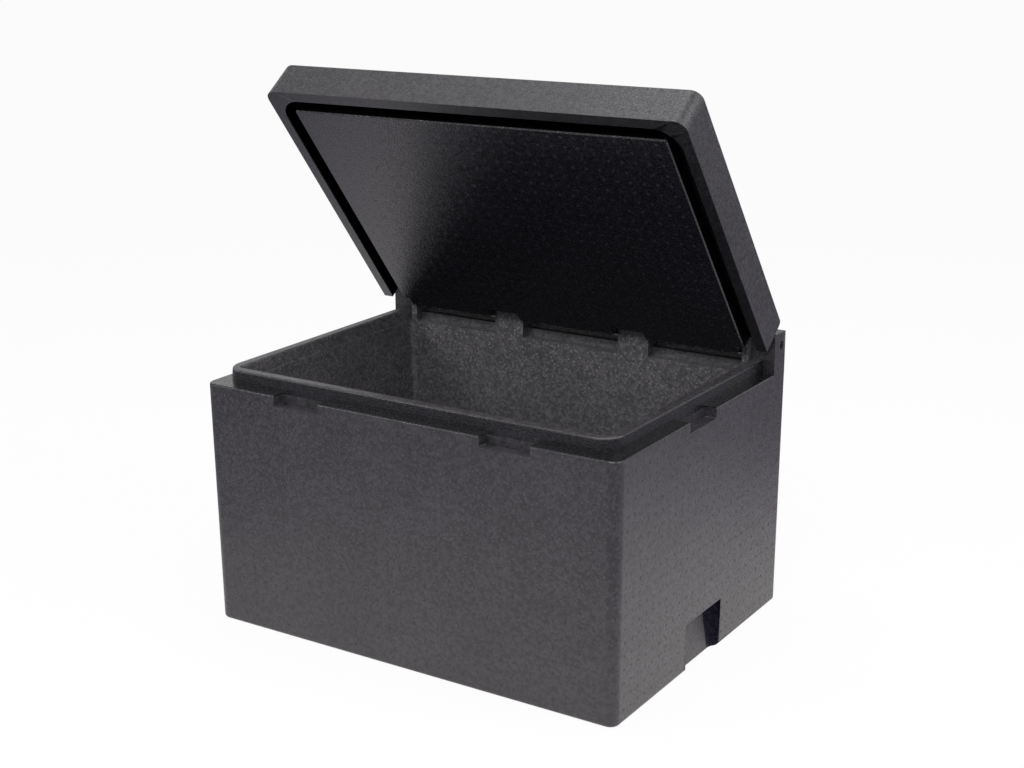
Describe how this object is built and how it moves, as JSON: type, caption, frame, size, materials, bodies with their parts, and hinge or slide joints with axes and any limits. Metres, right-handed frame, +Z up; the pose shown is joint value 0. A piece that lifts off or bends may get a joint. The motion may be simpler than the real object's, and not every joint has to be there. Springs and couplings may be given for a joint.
{
  "type": "insulated foam box with hinged lid",
  "caption": "Rectangular moulded foam transport box with thick walls, a sealing rim and a lid that turns on a full-length hinge rod along the rear edge.",
  "frame": {"origin": "centre of the footprint, on the surface the box stands on", "axes": "+X along the box to the right, +Y to the rear where the hinge is, +Z up"},
  "size_m": [0.8, 0.6, 0.9404],
  "materials": {
    "body_foam": "matt moulded bead foam",
    "lid_foam": "matt moulded bead foam, smoother on the inner panel",
    "rod_plastic": "drawn fibre-reinforced rod"
  },
  "bodies": {
    "box": {"box_body": "body_foam", "hinge_rod": "rod_plastic"},
    "lid": {"lid": "lid_foam"}
  },
  "joints": [
    {"name": "lid_hinge", "type": "hinge", "parent": "box", "child": "lid", "pos_m": [0, 0.269, 0.477], "axis": [-1, 0, 0], "range_deg": [-52.5, 127.5]}
  ]
}
